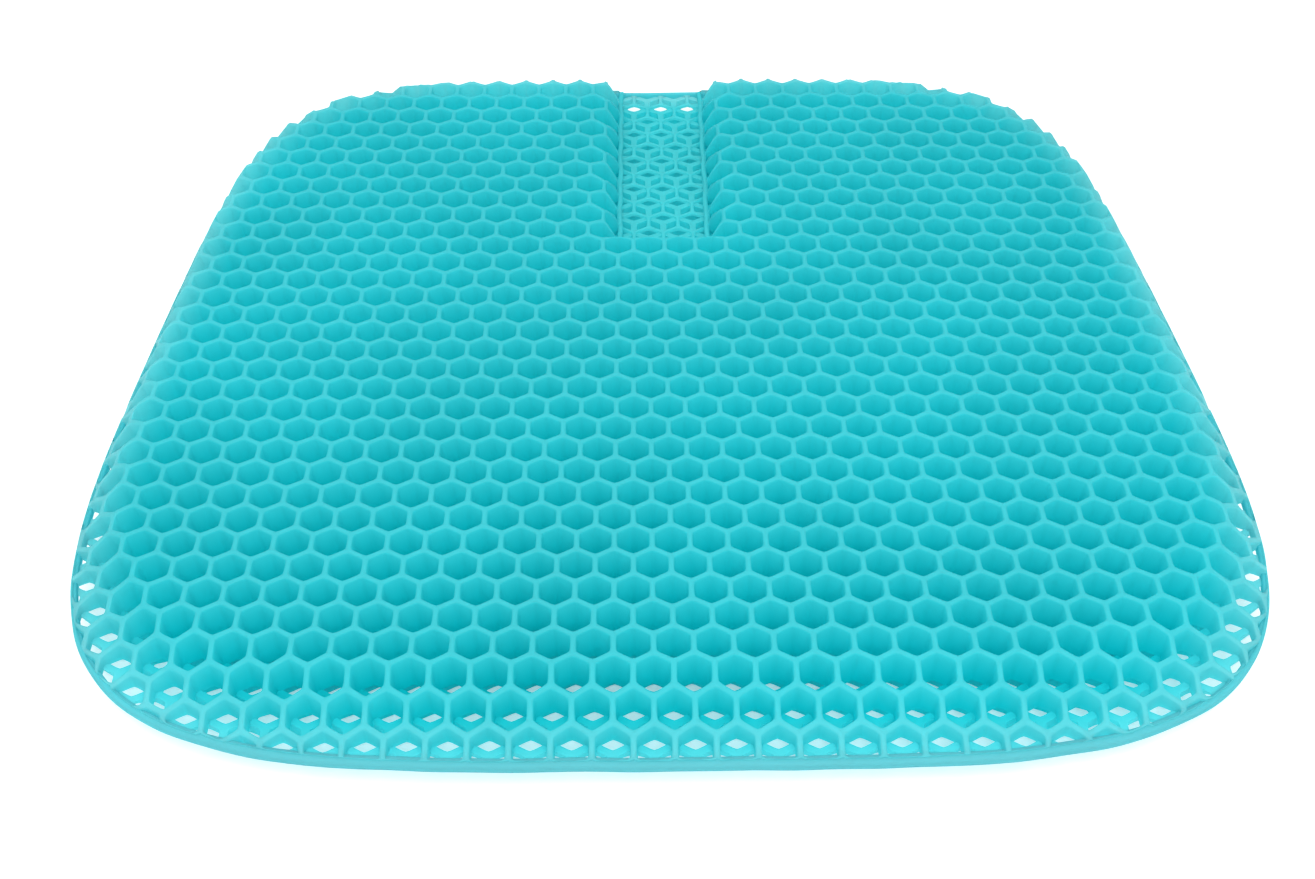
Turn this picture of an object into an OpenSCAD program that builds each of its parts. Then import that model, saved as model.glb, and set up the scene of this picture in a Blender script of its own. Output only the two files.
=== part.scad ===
// Gel seat cushion: two stacked layers of open hexagonal cells, moulded in one piece
// from a soft thermoplastic elastomer, joined at the mid-plane and closed by a rim.
// A slot at the back relieves the tailbone. Each block of cells is drawn here as the
// closed envelope of its cells. The web on the floor of the slot is drawn cell by cell.
//
// X runs from left to right, Y from the front edge to the back edge, Z up.
// The origin is the centre of the underside, on the surface it rests on.

/* [Plan outline] */
// Overall width, left to right
cushion_w = 454; // [409:1:499]
// Overall depth, front to back
cushion_d = 425; // [383:1:467]
// Squareness of the front corners, where 2 is an ellipse
front_squareness = 4.2; // [3:0.1:6]
// Squareness of the back corners, where 2 is an ellipse
back_squareness = 5.2; // [4:0.1:8]
// How much the sides draw in toward the back
side_taper = 0.017; // [0.008:0.001:0.025]

/* [Cells] */
// Distance between the centres of neighbouring cells
cell_pitch = 14; // [12:0.5:18]
// Thickness of the walls between cells
wall_t = 2.1; // [1.2:0.1:2.4]
// Height of the upper layer of cells, from the mid-plane to the crown
upper_h = 15; // [13:0.5:22]
// Height of the lower layer of cells, from the underside to the mid-plane
lower_h = 13; // [11:0.5:22]
// Distance from the front edge to the centres of the first row of cells
front_row_inset = 6.7; // [5:0.1:9]

/* [Rolled edges] */
// Length over which the front edge rolls down to the rim
roll_front = 40; // [25:1:50]
// Length over which the back edge rolls down to the rim
roll_back = 6.5; // [5:0.5:20]
// How soon the roll of the sides tightens toward the back, where 1 is evenly
roll_fade = 4; // [1:0.5:6]

/* [Rim] */
// Width of the rim at the back and sides, seen from above
rim_w = 2; // [1.5:0.5:4]
// Width of the rim at the front edge, seen from above
rim_front = 4; // [2:0.5:6]
// Height of the rim
rim_h = 4; // [3:0.5:6]

/* [Tailbone slot] */
// Width of the slot between its two ribs
slot_w = 39; // [34:1:44]
// Where the slot begins, measured back from the middle of the cushion
slot_front = 72; // [60:1:90]
// Thickness of each rib
rib_t = 2.4; // [1.6:0.1:4]
// Height of the ribs above the mid-plane
rib_h = 3; // [2:0.5:8]
// Height of the web on the floor of the slot, above the mid-plane
web_h = 1.2; // [1:0.1:2.4]
// Length over which the cells beside the slot roll down to the ribs
roll_slot = 12; // [8:1:16]

/* [Hidden] */

gel = [0.18, 0.77, 0.82];
gel_edge = [0.45, 0.84, 0.87];

row_pitch = cell_pitch * sqrt(3) / 2;
half_d = cushion_d / 2;
slot_edge = slot_w / 2 + rib_t;
// Where the taper of the sides starts from, as a share of the half depth
taper_start = -1.79;
// Angle between neighbouring points of the outline
outline_step = 5;
// Steps in which an edge rolls from the rim to the crown, and how round the roll is
roll_steps = 5;
roll_power = 1.4;
// How soon the rim narrows from the front edge toward the sides
rim_fade = 8;
// Longer than any part of the cushion
far = 1000;

// Place on the outline at an angle around the plan, as shares of the half width and
// the half depth
function squareness(a) = sin(a) < 0 ? front_squareness : back_squareness;
function power(v, e) = sign(v) * pow(abs(v), e);
function place_y(a) = power(sin(a), 2 / squareness(a));
function taper(y) = 1 - side_taper * pow(y - taper_start, 2);
function place_x(a) = power(cos(a), 2 / squareness(a)) * taper(place_y(a));
widest = max([for (a = [-90 : 1 : 90]) place_x(a)]);
half_w = cushion_w / 2 / widest;

// Value at an angle around the plan that goes from front to back, the sooner the higher fade is
function toward_back(a, front, back, fade) =
    back + (front - back) * pow((1 - place_y(a)) / 2, fade);

// Points of the outline, drawn in by a share of the rim and by a share of the roll
function outline(rim_share, roll_share) = [
    for (a = [0 : outline_step : 360 - outline_step])
        let (inset = rim_share * toward_back(a, rim_front, rim_w, rim_fade)
                     + roll_share * toward_back(a, roll_front, roll_back, roll_fade))
            [place_x(a) * (half_w - inset), place_y(a) * (half_d - inset)]
];
rim_inner = outline(1, 0);

// Envelope of one layer of cells, from the mid-plane up, with its edges rolled to the rim
module layer_envelope(layer_h) {
    hull() for (i = [0 : roll_steps]) {
        u = i / roll_steps;
        height = rim_h / 2 + (layer_h - rim_h / 2) * (1 - pow(1 - u, roll_power));
        linear_extrude(height) polygon(outline(1, u));
    }
}

// Channel that clears the slot above the mid-plane, with sides that lean out to the crown
module slot_channel() {
    lean = [[0, rib_h], [roll_slot * 0.15, upper_h * 0.6], [roll_slot * 0.45, upper_h * 0.85],
            [roll_slot, upper_h], [roll_slot, upper_h + 1]];
    right = [for (p = lean) [slot_edge + p.x, p.y]];
    left = [for (i = [len(lean) - 1 : -1 : 0]) [-slot_edge - lean[i].x, lean[i].y]];
    translate([0, slot_front + far, 0]) rotate([90, 0, 0]) linear_extrude(far)
        polygon(concat([[-slot_edge, -1], [slot_edge, -1]], right, left));
}

// Part of the upper layer inside a box from [x0, y0] to [x1, y1]
module upper_block(x0, y0, x1, y1) {
    color(gel) translate([0, 0, lower_h]) intersection() {
        layer_envelope(upper_h);
        translate([x0, y0, -1]) cube([x1 - x0, y1 - y0, upper_h + 2]);
    }
}

module upper_cells_front() {
    upper_block(-far, -far, far, slot_front);
}

module upper_cells_right() {
    difference() {
        upper_block(0, slot_front, far, far);
        translate([0, 0, lower_h]) slot_channel();
    }
}

module upper_cells_left() {
    mirror([1, 0, 0]) upper_cells_right();
}

module lower_cells() {
    color(gel) translate([0, 0, lower_h]) mirror([0, 0, 1]) layer_envelope(lower_h);
}

module perimeter_rim() {
    color(gel_edge) translate([0, 0, lower_h - rim_h / 2]) linear_extrude(rim_h) difference() {
        polygon(outline(0, 0));
        polygon(rim_inner);
    }
}

// Low walls between the cells on the floor of the slot, which line up with the cells
// of the upper layer
module slot_floor_web() {
    color(gel_edge) translate([0, 0, lower_h]) linear_extrude(web_h) difference() {
        intersection() {
            polygon(rim_inner);
            translate([-slot_w / 2, slot_front]) square([slot_w, far]);
        }
        for (row = [0 : floor(cushion_d / row_pitch)], column = [-2 : 2]) {
            x = (column + (row % 2 == 0 ? 0.5 : 0)) * cell_pitch;
            y = front_row_inset - half_d + row * row_pitch;
            if (y > slot_front - row_pitch && abs(x) < slot_w / 2 + cell_pitch / 2)
                translate([x, y]) rotate(30) circle(r = (cell_pitch - wall_t) / sqrt(3), $fn = 6);
        }
    }
}

module slot_rib_right() {
    color(gel_edge) translate([0, 0, lower_h]) linear_extrude(rib_h) intersection() {
        polygon(rim_inner);
        translate([slot_w / 2, slot_front]) square([rib_t, far]);
    }
}

module slot_rib_left() {
    mirror([1, 0, 0]) slot_rib_right();
}

upper_cells_front();
upper_cells_left();
upper_cells_right();
lower_cells();
perimeter_rim();
slot_floor_web();
slot_rib_left();
slot_rib_right();
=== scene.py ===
"""Looks of the gel seat cushion: two layers of open hexagonal cells, the rim and the slot.

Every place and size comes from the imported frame. Lengths are in metres, +Y runs from the front
edge to the back edge, and the underside rests on z = 0.
"""

import math

import bpy
import numpy as np
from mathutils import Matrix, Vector, noise


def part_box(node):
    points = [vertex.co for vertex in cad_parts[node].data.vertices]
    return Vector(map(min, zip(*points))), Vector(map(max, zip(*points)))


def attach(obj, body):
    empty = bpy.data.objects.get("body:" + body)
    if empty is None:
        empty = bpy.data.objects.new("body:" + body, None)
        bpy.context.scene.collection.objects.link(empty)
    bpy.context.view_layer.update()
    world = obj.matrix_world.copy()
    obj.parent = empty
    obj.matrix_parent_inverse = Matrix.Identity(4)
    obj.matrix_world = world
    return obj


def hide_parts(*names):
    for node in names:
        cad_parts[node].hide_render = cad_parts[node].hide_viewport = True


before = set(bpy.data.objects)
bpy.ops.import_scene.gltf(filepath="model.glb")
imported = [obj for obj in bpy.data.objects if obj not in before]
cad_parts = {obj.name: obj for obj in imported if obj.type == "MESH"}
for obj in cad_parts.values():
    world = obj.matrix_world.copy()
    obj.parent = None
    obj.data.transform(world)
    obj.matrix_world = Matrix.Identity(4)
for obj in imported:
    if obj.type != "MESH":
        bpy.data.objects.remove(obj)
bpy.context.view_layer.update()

MM = 0.001

# ---------------------------------------------------------------- sizes from the frame

rim_low, rim_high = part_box("perimeter_rim")
crown_low, crown_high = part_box("upper_cells_front")
rib_low, rib_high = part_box("slot_rib_right")
_, web_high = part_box("slot_floor_web")

HALF_D = rim_high[1]
MID_Z = (rim_low[2] + rim_high[2]) / 2
UPPER_H = crown_high[2] - MID_Z
LOWER_H = MID_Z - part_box("lower_cells")[0][2]
RIM_H = rim_high[2] - rim_low[2]
RIM_W = rim_high[1] - web_high[1]
RIM_FRONT = crown_low[1] - rim_low[1]
RIB_H = rib_high[2] - MID_Z
RIB_T = rib_high[0] - rib_low[0]
WEB_H = web_high[2] - MID_Z
SLOT_HALF = rib_low[0]
SLOT_EDGE = rib_high[0]
SLOT_FRONT = rib_low[1]

# The plan outline and the cells follow the same rules as the CAD model.
FRONT_SQUARENESS = 4.2
BACK_SQUARENESS = 5.2
SIDE_TAPER = 0.017
TAPER_START = -1.79
ROLL_FRONT = 40 * MM
ROLL_BACK = 6.5 * MM
ROLL_BACK_LOWER = 12 * MM
ROLL_FADE = 4.0
RIM_FADE = 8.0
PITCH = 14 * MM
FRONT_ROW_INSET = 6.7 * MM
SIDE_LEN = PITCH / math.sqrt(3)
ROW_PITCH = PITCH * math.sqrt(3) / 2


# ---------------------------------------------------------------- plan outline

def power(value, exponent):
    return np.sign(value) * np.abs(value) ** exponent


def taper(y_share):
    return 1 - SIDE_TAPER * (y_share - TAPER_START) ** 2


def outline_shares(angles):
    """Place on the outline at angles around the plan, as shares of half the width and depth."""
    squareness = np.where(np.sin(angles) < 0, FRONT_SQUARENESS, BACK_SQUARENESS)
    y = power(np.sin(angles), 2 / squareness)
    return power(np.cos(angles), 2 / squareness) * taper(y), y


WIDEST = outline_shares(np.radians(np.arange(-90, 91)))[0].max()
HALF_W = rim_high[0] / WIDEST


def toward_back(y, front, back, fade):
    """A value that goes from front to back over the plan, the sooner the higher fade is."""
    return back + (front - back) * np.clip((1 - y / HALF_D) / 2, 0, 1) ** fade


def rim_width(y):
    return toward_back(y, RIM_FRONT, RIM_W, RIM_FADE)


def outside(x, y, inset):
    """Under 1 inside the outline drawn in by inset, 1 on it, over 1 outside."""
    share_y = y / (HALF_D - inset)
    share_x = x / ((HALF_W - inset) * taper(share_y))
    squareness = np.where(y < 0, FRONT_SQUARENESS, BACK_SQUARENESS)
    return (np.abs(share_x) ** squareness + np.abs(share_y) ** squareness) ** (1 / squareness)


def keep_inside(x, y):
    """Pulls points outside the middle of the rim back to it, toward the middle of the plan."""
    for _ in range(4):
        over = np.maximum(outside(x, y, rim_width(y) / 2), 1)
        x, y = x / over, y / over
    return x, y


def roll_share(x, y, roll_back):
    """0 at the rim's inner edge, 1 where the crown is level."""
    roll = toward_back(y, ROLL_FRONT, roll_back, ROLL_FADE)
    low, high = np.zeros_like(x), np.ones_like(x)
    for _ in range(16):
        mid = (low + high) / 2
        inside = outside(x, y, rim_width(y) + mid * roll) < 1
        low, high = np.where(inside, mid, low), np.where(inside, high, mid)
    return (low + high) / 2


# ---------------------------------------------------------------- heights of the two layers

UPPER_EDGE_H = 3.8 * MM
LOWER_EDGE_H = 0.9 * MM
FRONT_LIFT = 1.2 * MM
SLOT_ROLL_SIDE = 12 * MM
SLOT_ROLL_FRONT = 7 * MM
UPPER_ROLL_POWER = 1.25
LOWER_ROLL_POWER = 1.9


def slot_height(x, y):
    """Height of the upper layer over the mid-plane as it rolls down into the slot."""
    beside = np.maximum(np.abs(x) - SLOT_EDGE, 0) / SLOT_ROLL_SIDE
    ahead = np.maximum(SLOT_FRONT - y, 0) / SLOT_ROLL_FRONT
    away = np.clip(np.hypot(beside, ahead), 0, 1)
    rolled = RIB_H + (UPPER_H - RIB_H) * np.sqrt(1 - (1 - away) ** 2)
    in_slot = (np.abs(x) < SLOT_HALF) & (y > SLOT_FRONT)
    under_rib = (np.abs(x) <= SLOT_EDGE) & (y > SLOT_FRONT) & ~in_slot
    rolled = np.where(under_rib, RIB_H * 0.8, rolled)
    return np.where(in_slot, WEB_H, rolled)


def upper_height(x, y):
    rolled = 1 - (1 - roll_share(x, y, ROLL_BACK)) ** UPPER_ROLL_POWER
    return np.minimum(UPPER_EDGE_H + (UPPER_H - UPPER_EDGE_H) * rolled, slot_height(x, y))


def lower_height(x, y):
    rolled = 1 - (1 - roll_share(x, y, ROLL_BACK_LOWER)) ** LOWER_ROLL_POWER
    return LOWER_EDGE_H + (LOWER_H - LOWER_EDGE_H) * rolled


# ---------------------------------------------------------------- honeycomb layers

# Each ring round a cell, from the crest to the mid-plane: its distance from the middle of the
# wall, its drop below the crest, and how far down the wall it lies. Walls flare at the mid-plane.
RINGS = (
    (0.00 * MM, 0.00 * MM, 0.00),
    (0.78 * MM, 0.06 * MM, 0.00),
    (1.06 * MM, 0.55 * MM, 0.00),
    (1.16 * MM, 0.55 * MM, 0.85),
    (1.42 * MM, 0.55 * MM, 1.00),
    (0.00 * MM, 0.55 * MM, 1.00),
)
# Painted highlight: the share of the pale crest colour on each ring of a cell.
CREST_PAINTED_LIGHT = (1.0, 1.0, 0.8, 0.5, 0.85, 0.85)
SLOT_WALL_SHARE = 0.7
SLOT_PAINTED_LIGHT_SHARE = 0.35
# The slot has slimmer walls, a smaller share of the painted crest light and a wash of its own.
# Painted shade deepens the colour over this depth below the crests.
PAINTED_SHADE_DEPTH = 15 * MM
PAINTED_SHADE_POWER = 1.2
# A paler wash toward the rim and in the slot. Its fade toward the front edge is painted shade.
WASH_REACH = 21 * MM
WASH_POWER = 1.3
WASH_FRONT_SHADE = 0.45
WASH_FRONT_SHADE_FADE = 3.0
WASH_SLOT = 0.24
SHARP_ANGLE = math.radians(70)
CORNER_STEPS = np.radians([0, 12, 48])
CORNER_SHARPNESS = 20
OVERLAP = 0.25 * MM
WELD = 0.05 * MM
FULL_DROP_H = 4 * MM

# Moulded walls wander a little. The wander fades out next to the rim.
WANDER_SEED = 11
WANDER_SCALE = 45
WANDER_SIDE_MM = 0.22
WANDER_UP_MM = 0.12
WANDER_END = 1.02
WANDER_FADE = 0.05
UPPER_WANDER, LOWER_WANDER, BAND_WANDER, RIB_WANDER = 7.0, 19.0, 31.0, 43.0


def ring_angles():
    corners = np.radians(30 + 60 * np.arange(6))
    return (corners[:, None] + CORNER_STEPS[None, :]).ravel()


def ring_radius(angles, offset):
    """Radius of a cell's ring: a true hexagon in the middle of the wall, else with round corners."""
    normals = np.radians(60 * np.arange(6))
    facing = np.maximum(np.cos(angles[:, None] - normals[None, :]), 0)
    if offset == 0:
        return (PITCH / 2) / facing.max(axis=1)
    apothem = PITCH / 2 - offset
    return apothem / (facing ** CORNER_SHARPNESS).sum(axis=1) ** (1 / CORNER_SHARPNESS)


def cell_centres(shift_y):
    """Centres of the cells that reach inside the rim."""
    rows = np.arange(-2, int(2 * HALF_D / ROW_PITCH) + 3)
    columns = np.arange(-20, 21)
    row, column = np.meshgrid(rows, columns, indexing="ij")
    x = (column + np.where(row % 2 == 0, 0.5, 0.0)) * PITCH
    y = FRONT_ROW_INSET - HALF_D + row * ROW_PITCH + shift_y
    x, y = x.ravel(), y.ravel()
    corners = np.radians(30 + 60 * np.arange(6))
    reach_x = x[:, None] + SIDE_LEN * np.cos(corners)
    reach_y = y[:, None] + SIDE_LEN * np.sin(corners)
    reaches = (outside(reach_x, reach_y, rim_width(reach_y)) < 1).any(axis=1)
    return x[reaches], y[reaches]


def uneven(x, y, z, offset):
    """Small smooth wander of soft moulded walls. offset gives each part a wander of its own."""
    points = np.stack([x, y, z], axis=-1) * WANDER_SCALE
    wander = [noise.noise_vector(Vector(p) + Vector((offset, 0, 0))) for p in points]
    return np.array(wander)


def honeycomb(name, shift_y, height_at, up):
    """All the walls of a layer as one mesh. up is 1 for the upper layer, -1 for the lower."""
    centre_x, centre_y = cell_centres(shift_y)
    angles = ring_angles()
    ring_count, point_count = len(RINGS), len(angles)
    x = np.zeros((len(centre_x), ring_count, point_count))
    y = np.zeros_like(x)
    slim = slot_height(centre_x, centre_y) < RIB_H if up > 0 else np.zeros(len(centre_x), bool)
    for ring, (offset, _, _) in enumerate(RINGS):
        full, low = ring_radius(angles, offset), ring_radius(angles, offset * SLOT_WALL_SHARE)
        radius = np.where(slim[:, None], low, full)
        x[:, ring] = centre_x[:, None] + radius * np.cos(angles)
        y[:, ring] = centre_y[:, None] + radius * np.sin(angles)

    # Neighbouring cells share the points in the middle of a wall, at its crest and its foot.
    level = np.zeros(x.shape)
    level[:, -1] = 1
    level[:, 1:-1] = 2 + np.arange(ring_count - 2)[None, :, None]
    keys = np.stack([np.round(x / WELD), np.round(y / WELD), level], axis=-1).reshape(-1, 3)
    _, first, index = np.unique(keys, axis=0, return_index=True, return_inverse=True)
    index = index.reshape(x.shape)
    ring_of = np.broadcast_to(np.arange(ring_count)[None, :, None], x.shape).ravel()[first]
    x, y = keep_inside(x.ravel()[first], y.ravel()[first])

    drop = np.array([r[1] for r in RINGS])[ring_of]
    down = np.array([r[2] for r in RINGS])[ring_of]
    height = height_at(x, y)
    drop = drop * np.minimum(1, height / FULL_DROP_H)
    z = MID_Z + up * ((height - drop) * (1 - down) - OVERLAP * down)

    points = np.stack([x, y, z], axis=-1)
    wander = uneven(x, y, z, UPPER_WANDER if up > 0 else LOWER_WANDER)
    free = np.clip(WANDER_END - outside(x, y, rim_width(y)), 0, WANDER_FADE) / WANDER_FADE
    points[:, :2] += wander[:, :2] * (WANDER_SIDE_MM * MM * free)[:, None]
    raised = up * wander[:, 2] * WANDER_UP_MM * MM * (1 - down) * free
    points[:, 2] += raised - up * WANDER_UP_MM * MM * (1 - down)

    a = index[:, :-1, :]
    b = np.roll(index, -1, axis=2)[:, :-1, :]
    c = np.roll(index, -1, axis=2)[:, 1:, :]
    d = index[:, 1:, :]
    quads = np.stack([a, b, c, d], axis=-1).reshape(-1, 4)

    # Where a wall has a cell on one side only, its other side is closed inside the rim.
    top_a, top_b = index[:, 0, :].ravel(), np.roll(index[:, 0, :], -1, axis=1).ravel()
    low_a, low_b = index[:, -1, :].ravel(), np.roll(index[:, -1, :], -1, axis=1).ravel()
    pair = np.stack([np.minimum(top_a, top_b), np.maximum(top_a, top_b)], axis=-1)
    _, which, uses = np.unique(pair, axis=0, return_inverse=True, return_counts=True)
    open_edge = uses[which.ravel()] == 1
    skirt = np.stack([top_b, top_a, low_a, low_b], axis=-1)[open_edge]
    quads = np.concatenate([quads, skirt])
    if up < 0:
        quads = quads[:, ::-1]

    piece = mesh_piece(name, points, quads)
    # Painted light and shade: paler on the crests as a painted highlight, and painted deeper the
    # further a point lies below the crests over it, as painted shade
    depth = np.clip((MID_Z + upper_height(x, y) - z) / PAINTED_SHADE_DEPTH, 0, 1)
    painted_light = np.array(CREST_PAINTED_LIGHT)[ring_of] * (1 - depth ** PAINTED_SHADE_POWER)
    over_slot = slot_height(x, y) < RIB_H
    paint(piece, "painted_light", np.where(over_slot, painted_light * SLOT_PAINTED_LIGHT_SHARE, painted_light))
    # Paler toward the rim. The fade toward the front edge is painted shade, deepening the front
    # where the front lamp lights it most.
    to_rim = (1 - outside(x, y, 0)) * HALF_D
    wash_tone = np.clip(1 - to_rim / WASH_REACH, 0, 1) ** WASH_POWER
    wash_tone = wash_tone * toward_back(y, WASH_FRONT_SHADE, 1, WASH_FRONT_SHADE_FADE)
    paint(piece, "wash_tone", np.where(over_slot, np.maximum(wash_tone, WASH_SLOT), wash_tone))
    return piece


def paint(piece, name, values):
    values = np.broadcast_to(values, len(piece.data.vertices)).astype(np.float32)
    piece.data.attributes.new(name, "FLOAT", "POINT").data.foreach_set("value", values)


def mesh_piece(name, points, faces):
    mesh = bpy.data.meshes.new(name)
    mesh.from_pydata([tuple(p) for p in points], [], [tuple(int(i) for i in f) for f in faces])
    mesh.validate()
    mesh.shade_smooth()
    mesh.set_sharp_from_angle(angle=SHARP_ANGLE)
    mesh.update()
    piece = bpy.data.objects.new(name, mesh)
    bpy.context.scene.collection.objects.link(piece)
    return piece


# ---------------------------------------------------------------- swept bands

BAND_STEPS = 640
RIM_ROUND = 0.8 * MM
RIM_RIDGE = 0.2 * MM
RIB_ROUND = 1.0 * MM
RIB_STEP = 2.5 * MM
RIB_START = 1.5 * MM


def swept(path, across, section, closed, widths=None):
    """A band along path. across is the unit vector to its outer side at each point, section lists
    (outward, upward) points round its cross-section, and widths stretch it at each point."""
    section = np.array(section)
    stretch = np.ones(len(path)) if widths is None else widths
    rings = (
        path[:, None, :]
        + across[:, None, :] * section[None, :, 0, None] * stretch[:, None, None]
        + np.array([0, 0, 1.0])[None, None, :] * section[None, :, 1, None]
    )
    count, around = rings.shape[:2]
    points = rings.reshape(-1, 3)
    faces = []
    for i in range(count if closed else count - 1):
        for j in range(around):
            here, beyond = i * around, ((i + 1) % count) * around
            faces.append((here + j, here + (j + 1) % around, beyond + (j + 1) % around, beyond + j))
    if not closed:
        faces.append(tuple(range(around))[::-1])
        faces.append(tuple((count - 1) * around + j for j in range(around)))
    return points, faces


def round_section(width, height, radius, steps=4, ridge=0.0):
    """Rounded rectangle centred on 0, with a fine parting ridge on its outer side."""
    points = []
    corners = ((1, 1, 0), (-1, 1, 90), (-1, -1, 180), (1, -1, 270))
    for sx, sy, start in corners:
        if ridge and (sx, sy) == (1, 1):
            points.append((width / 2, -ridge))
            points.append((width / 2 + ridge, 0.0))
            points.append((width / 2, ridge))
        for step in range(steps + 1):
            angle = math.radians(start + 90 * step / steps)
            points.append((
                sx * (width / 2 - radius) + radius * math.cos(angle),
                sy * (height / 2 - radius) + radius * math.sin(angle),
            ))
    return points


def perimeter_band():
    angles = np.radians(np.arange(0, 360, 0.75))
    share_x, share_y = outline_shares(angles)
    inset = rim_width(share_y * HALF_D) / 2
    path = np.stack([share_x * (HALF_W - inset), share_y * (HALF_D - inset)], axis=-1)
    # Even spacing along the band, so that its corners are as smooth as its sides
    loop = np.concatenate([path, path[:1]])
    run = np.concatenate([[0], np.cumsum(np.hypot(*np.diff(loop, axis=0).T))])
    even = np.linspace(0, run[-1], BAND_STEPS + 1)[:-1]
    path = np.stack([np.interp(even, run, loop[:, i]) for i in range(2)], axis=-1)
    along = np.roll(path, -1, axis=0) - np.roll(path, 1, axis=0)
    along /= np.linalg.norm(along, axis=1)[:, None]
    across = np.stack([along[:, 1], -along[:, 0], np.zeros(len(path))], axis=-1)
    wander = uneven(path[:, 0], path[:, 1], np.zeros(len(path)), BAND_WANDER)
    centre = np.stack([path[:, 0], path[:, 1], np.full(len(path), MID_Z)], axis=-1)
    centre[:, 2] += wander[:, 2] * 0.4 * MM + toward_back(path[:, 1], FRONT_LIFT, 0, RIM_FADE)
    centre -= across * (0.1 + 0.5 * wander[:, :1]) * MM
    section = round_section(RIM_W, RIM_H, RIM_ROUND, ridge=RIM_RIDGE)
    widths = rim_width(path[:, 1]) / RIM_W
    points, faces = swept(centre, across, section, closed=True, widths=widths)
    return mesh_piece("perimeter_band", points, [f[::-1] for f in faces])


def slot_rib(name, side):
    y = np.arange(SLOT_FRONT + RIB_START, rim_high[1] - RIM_W * 0.6, RIB_STEP)
    x = np.full(len(y), side * (SLOT_HALF + RIB_T / 2))
    wander = uneven(x, y, np.zeros(len(y)), RIB_WANDER)
    x = x + (wander[:, 0] * 0.6 + side * 0.25 * np.sin(y * math.pi / ROW_PITCH)) * MM
    z = np.full(len(y), MID_Z + RIB_H / 2) + wander[:, 2] * 0.25 * MM
    path = np.stack([x, y, z], axis=-1)
    across = np.broadcast_to(np.array([float(side), 0, 0]), path.shape)
    section = round_section(RIB_T, RIB_H, RIB_ROUND)
    points, faces = swept(path, across, section, closed=False)
    return mesh_piece(name, points, faces if side < 0 else [f[::-1] for f in faces])


# ---------------------------------------------------------------- materials

def gel_material(name, deep, crest, wash_tone, through):
    """Soft translucent elastomer. Its thin walls pass light. Its colour runs from the crest colour,
    a painted highlight, to the deep colour, painted shade down the cells, and toward the wash colour
    by the rim, held back at the front by painted shade.
    """
    material = bpy.data.materials.new(name)
    material.use_nodes = True
    nodes, links = material.node_tree.nodes, material.node_tree.links
    shader = nodes["Principled BSDF"]
    shader.inputs["Roughness"].default_value = 0.46
    shader.inputs["IOR"].default_value = 1.45
    shader.inputs["Specular IOR Level"].default_value = 0.25

    place = nodes.new("ShaderNodeTexCoord")
    cloud = nodes.new("ShaderNodeTexNoise")
    cloud.inputs["Scale"].default_value = 14
    cloud.inputs["Detail"].default_value = 2
    links.new(place.outputs["Object"], cloud.inputs["Vector"])
    vary = nodes.new("ShaderNodeHueSaturation")
    # Painted light and shade: the mix from the deep colour to the crest colour follows a painted
    # mask, pale on the crests and deeper down the cells.
    height = nodes.new("ShaderNodeAttribute")
    height.attribute_name = "painted_light"
    tone = nodes.new("ShaderNodeMix")
    tone.data_type = "RGBA"
    tone.inputs["A"].default_value = (*deep, 1)
    tone.inputs["B"].default_value = (*crest, 1)
    links.new(height.outputs["Fac"], tone.inputs["Factor"])
    # Mix toward the paler wash colour. Its mask fades toward the front edge as painted shade.
    edge = nodes.new("ShaderNodeAttribute")
    edge.attribute_name = "wash_tone"
    wash = nodes.new("ShaderNodeMix")
    wash.data_type = "RGBA"
    wash.inputs["B"].default_value = (*wash_tone, 1)
    links.new(edge.outputs["Fac"], wash.inputs["Factor"])
    links.new(tone.outputs["Result"], wash.inputs["A"])
    links.new(wash.outputs["Result"], vary.inputs["Color"])
    spread = nodes.new("ShaderNodeMapRange")
    spread.inputs["From Min"].default_value = 0.3
    spread.inputs["From Max"].default_value = 0.7
    spread.inputs["To Min"].default_value = 0.96
    spread.inputs["To Max"].default_value = 1.0
    links.new(cloud.outputs["Fac"], spread.inputs["Value"])
    links.new(spread.outputs["Result"], vary.inputs["Value"])
    links.new(vary.outputs["Color"], shader.inputs["Base Color"])

    grain = nodes.new("ShaderNodeTexNoise")
    grain.inputs["Scale"].default_value = 1600
    grain.inputs["Detail"].default_value = 3
    links.new(place.outputs["Object"], grain.inputs["Vector"])
    bump = nodes.new("ShaderNodeBump")
    bump.inputs["Strength"].default_value = 0.1
    bump.inputs["Distance"].default_value = 0.1 * MM
    links.new(grain.outputs["Fac"], bump.inputs["Height"])
    links.new(bump.outputs["Normal"], shader.inputs["Normal"])

    glow = nodes.new("ShaderNodeBsdfTranslucent")
    links.new(vary.outputs["Color"], glow.inputs["Color"])
    blend = nodes.new("ShaderNodeMixShader")
    blend.inputs["Fac"].default_value = through
    links.new(shader.outputs["BSDF"], blend.inputs[1])
    links.new(glow.outputs["BSDF"], blend.inputs[2])
    links.new(blend.outputs["Shader"], nodes["Material Output"].inputs["Surface"])
    return material


def floor_material():
    material = bpy.data.materials.new("pale_floor")
    material.use_nodes = True
    shader = material.node_tree.nodes["Principled BSDF"]
    shader.inputs["Base Color"].default_value = (0.93, 0.935, 0.94, 1)
    shader.inputs["Roughness"].default_value = 0.8
    shader.inputs["Emission Color"].default_value = (1, 1, 1, 1)
    shader.inputs["Emission Strength"].default_value = 0.25
    return material


# ---------------------------------------------------------------- stage, light and camera

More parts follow.
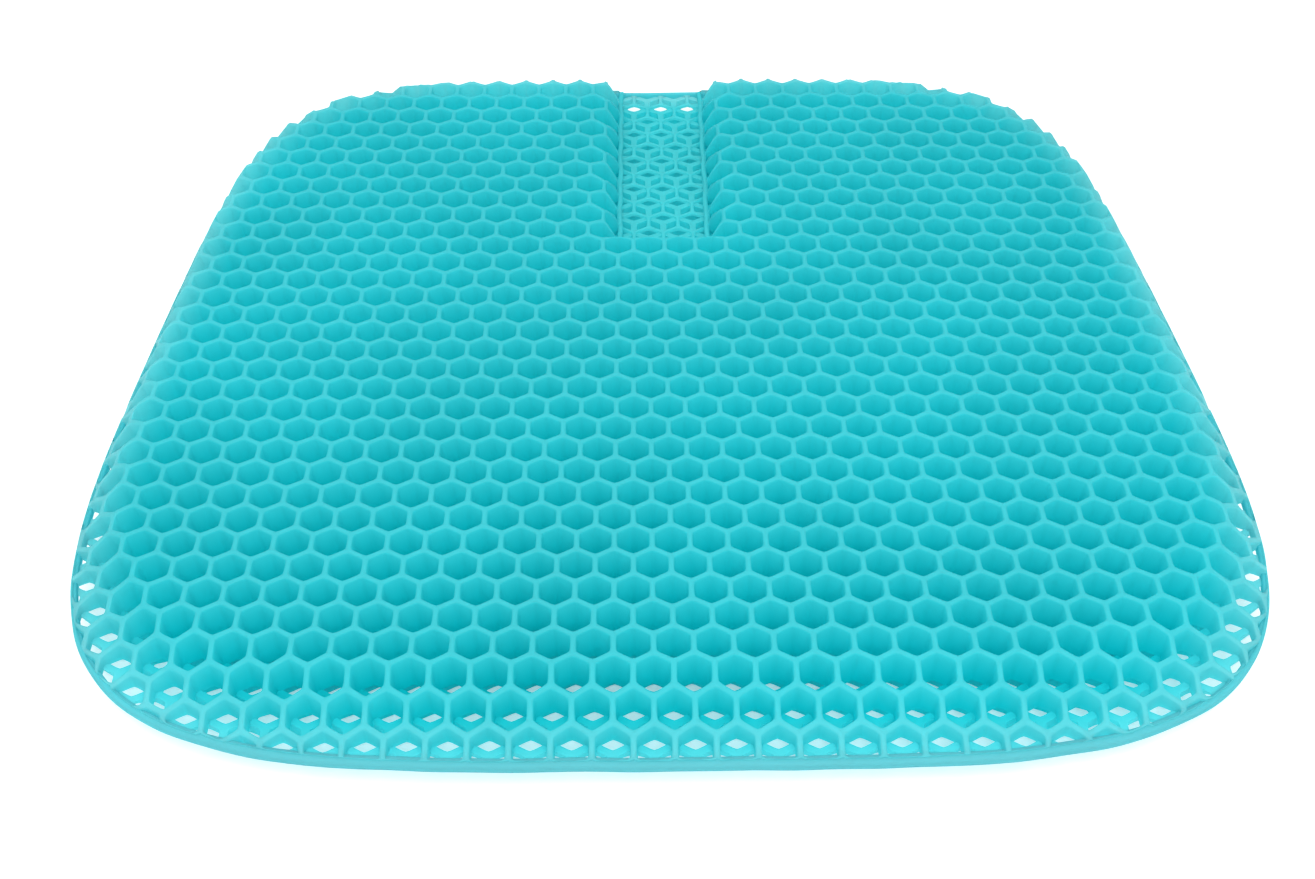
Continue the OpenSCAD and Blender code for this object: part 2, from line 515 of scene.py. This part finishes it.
def studio():
    bpy.ops.mesh.primitive_plane_add(size=8, location=(0, 0, 0))
    floor = bpy.context.object
    floor.name = "studio_floor"
    floor.data.materials.append(floor_material())

    world = bpy.data.worlds.new("studio")
    world.use_nodes = True
    world.node_tree.nodes["Background"].inputs["Color"].default_value = (1, 1, 1, 1)
    world.node_tree.nodes["Background"].inputs["Strength"].default_value = 0.75
    bpy.context.scene.world = world
    bpy.context.scene.view_settings.view_transform = "Standard"
    bpy.context.scene.cycles.max_bounces = 16
    bpy.context.scene.cycles.diffuse_bounces = 8

    def area(name, place, size, watts):
        light = bpy.data.lights.new(name, "AREA")
        light.size = size
        light.energy = watts
        lamp = bpy.data.objects.new(name, light)
        lamp.location = place
        lamp.rotation_euler = Vector(place).to_track_quat("Z", "Y").to_euler()
        bpy.context.scene.collection.objects.link(lamp)

    area("key", (0.1, -0.95, 1.35), 1.0, 18)
    area("fill", (-0.5, 0.5, 1.5), 1.4, 6)


def photo_camera():
    camera = bpy.data.cameras.new("photo_camera")
    camera.sensor_width = 36
    camera.lens = 42.56
    holder = bpy.data.objects.new("photo_camera", camera)
    place = Vector((-0.0092, -0.5110, 0.4525))
    elevation, yaw = math.radians(43.76), math.radians(0.61)
    ahead = Vector((
        math.cos(elevation) * math.sin(yaw),
        math.cos(elevation) * math.cos(yaw),
        -math.sin(elevation),
    ))
    holder.location = place
    holder.rotation_euler = ahead.to_track_quat("-Z", "Y").to_euler()
    bpy.context.scene.collection.objects.link(holder)
    bpy.context.scene.camera = holder


# ---------------------------------------------------------------- the cushion

photo_camera()
studio()

# Without a seed of its own the noise starts from the clock, and no two runs are alike.
noise.seed_set(WANDER_SEED)

# deep and crest are one turquoise as painted shade and painted highlight; the crest colour is the
# paler one.
gel = gel_material(
    "turquoise_gel",
    deep=(0.004, 0.86, 0.89),
    crest=(0.10, 0.77, 0.82),
    wash_tone=(0.42, 0.84, 0.86),
    through=0.62,
)

# A painted-shade copy of the gel for the rim: deeper colours standing in for less light than the
# front lamp gives it.
rim_gel_shaded = gel_material(
    "turquoise_rim_shaded",
    deep=(0.17, 0.64, 0.69),
    crest=(0.12, 0.80, 0.85),
    wash_tone=(0.30, 0.80, 0.84),
    through=0.62,
)

upper = honeycomb("upper_honeycomb", 0.0, upper_height, 1)
lower = honeycomb("lower_honeycomb", SIDE_LEN, lower_height, -1)
band = perimeter_band()
rib_left = slot_rib("tailbone_rib_left", -1)
rib_right = slot_rib("tailbone_rib_right", 1)
for piece in (rib_left, rib_right):
    paint(piece, "painted_light", 0.4)
    paint(piece, "wash_tone", 0.2)
# Painted shade: the rim is painted deeper toward the front edge and paler toward the back.
band_y = np.array([vertex.co.y for vertex in band.data.vertices])
paint(band, "painted_light", 1 - toward_back(band_y, 1, 0, RIM_FADE))
paint(band, "wash_tone", 0.3)

for piece, slot in (
    (upper, "gel_cells"),
    (lower, "gel_cells"),
    (band, "gel_rim"),
    (rib_left, "gel_rim"),
    (rib_right, "gel_rim"),
):
    piece.data.materials.append(rim_gel_shaded if piece is band else gel)
    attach(piece, "root")

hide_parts("upper_cells_front", "upper_cells_left", "upper_cells_right", "slot_floor_web")
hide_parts("lower_cells")
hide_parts("perimeter_rim")
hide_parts("slot_rib_left")
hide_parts("slot_rib_right")
